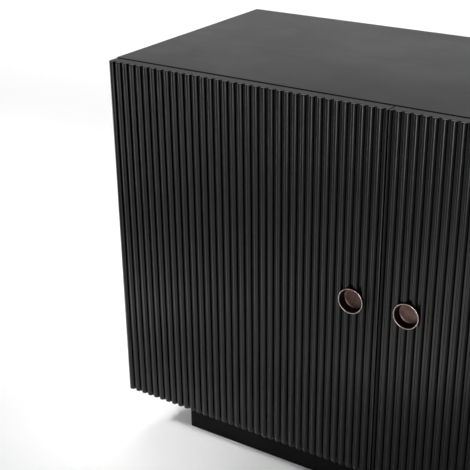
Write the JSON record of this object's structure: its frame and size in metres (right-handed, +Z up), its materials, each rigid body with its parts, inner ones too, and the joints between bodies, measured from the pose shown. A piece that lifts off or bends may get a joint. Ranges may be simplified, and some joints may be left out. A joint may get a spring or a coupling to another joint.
{
  "type": "sideboard",
  "caption": "Long low sideboard on a recessed plinth, with full-overlay hinged doors faced in vertical reeding and round cup pulls at mid height.",
  "frame": {"origin": "on the floor, under the centre of the whole object", "axes": "+X along the length to the right, doors face -Y, +Z up"},
  "size_m": [2, 0.45, 0.718],
  "materials": {
    "top_wood": "satin black stain over fine straight grain",
    "case_wood": "satin black stain",
    "back_wood": "matt black stained plywood",
    "shelf_wood": "satin black stain",
    "plinth_wood": "satin black stain",
    "door_wood": "satin black stain",
    "reeded_wood": "satin black stain, rounded ribs",
    "bronze": "dark brushed bronze",
    "nickel_steel": "nickel plated"
  },
  "bodies": {
    "case": {"top_panel": "top_wood", "bottom_panel": "case_wood", "left_side_panel": "case_wood", "left_partition_board": "case_wood", "left_back_panel": "back_wood", "left_shelf": "shelf_wood", "left_shelf_pin_1": "nickel_steel", "left_shelf_pin_2": "nickel_steel", "left_shelf_pin_3": "nickel_steel", "left_shelf_pin_4": "nickel_steel", "right_side_panel": "case_wood", "right_partition_board": "case_wood", "right_back_panel": "back_wood", "right_shelf": "shelf_wood", "right_shelf_pin_1": "nickel_steel", "right_shelf_pin_2": "nickel_steel", "right_shelf_pin_3": "nickel_steel", "right_shelf_pin_4": "nickel_steel", "plinth_front_board": "plinth_wood", "plinth_back_board": "plinth_wood", "plinth_left_board": "plinth_wood", "plinth_right_board": "plinth_wood", "plinth_centre_rail": "plinth_wood", "left_outer_upper_hinge_arm": "nickel_steel", "left_outer_lower_hinge_arm": "nickel_steel", "left_inner_upper_hinge_arm": "nickel_steel", "left_inner_lower_hinge_arm": "nickel_steel", "right_inner_upper_hinge_arm": "nickel_steel", "right_inner_lower_hinge_arm": "nickel_steel", "right_outer_upper_hinge_arm": "nickel_steel", "right_outer_lower_hinge_arm": "nickel_steel"},
    "left_outer_door": {"left_outer_door_board": "door_wood", "left_outer_door_reeding": "reeded_wood", "left_outer_cup_pull": "bronze", "left_outer_upper_hinge_cup": "nickel_steel", "left_outer_upper_hinge_levers": "nickel_steel", "left_outer_lower_hinge_cup": "nickel_steel", "left_outer_lower_hinge_levers": "nickel_steel"},
    "left_inner_door": {"left_inner_door_board": "door_wood", "left_inner_door_reeding": "reeded_wood", "left_inner_cup_pull": "bronze", "left_inner_upper_hinge_cup": "nickel_steel", "left_inner_upper_hinge_levers": "nickel_steel", "left_inner_lower_hinge_cup": "nickel_steel", "left_inner_lower_hinge_levers": "nickel_steel"},
    "right_inner_door": {"right_inner_door_board": "door_wood", "right_inner_door_reeding": "reeded_wood", "right_inner_cup_pull": "bronze", "right_inner_upper_hinge_cup": "nickel_steel", "right_inner_upper_hinge_levers": "nickel_steel", "right_inner_lower_hinge_cup": "nickel_steel", "right_inner_lower_hinge_levers": "nickel_steel"},
    "right_outer_door": {"right_outer_door_board": "door_wood", "right_outer_door_reeding": "reeded_wood", "right_outer_cup_pull": "bronze", "right_outer_upper_hinge_cup": "nickel_steel", "right_outer_upper_hinge_levers": "nickel_steel", "right_outer_lower_hinge_cup": "nickel_steel", "right_outer_lower_hinge_levers": "nickel_steel"}
  },
  "joints": [
    {"name": "left_outer_door_hinge", "type": "hinge", "parent": "case", "child": "left_outer_door", "pos_m": [-0.992, -0.2175, 0.409], "axis": [0, 0, -1], "range_deg": [0, 105]},
    {"name": "left_inner_door_hinge", "type": "hinge", "parent": "case", "child": "left_inner_door", "pos_m": [-0.008, -0.2175, 0.409], "axis": [0, 0, 1], "range_deg": [0, 90]},
    {"name": "right_inner_door_hinge", "type": "hinge", "parent": "case", "child": "right_inner_door", "pos_m": [0.008, -0.2175, 0.409], "axis": [0, 0, -1], "range_deg": [0, 90]},
    {"name": "right_outer_door_hinge", "type": "hinge", "parent": "case", "child": "right_outer_door", "pos_m": [0.992, -0.2175, 0.409], "axis": [0, 0, 1], "range_deg": [0, 105]}
  ]
}
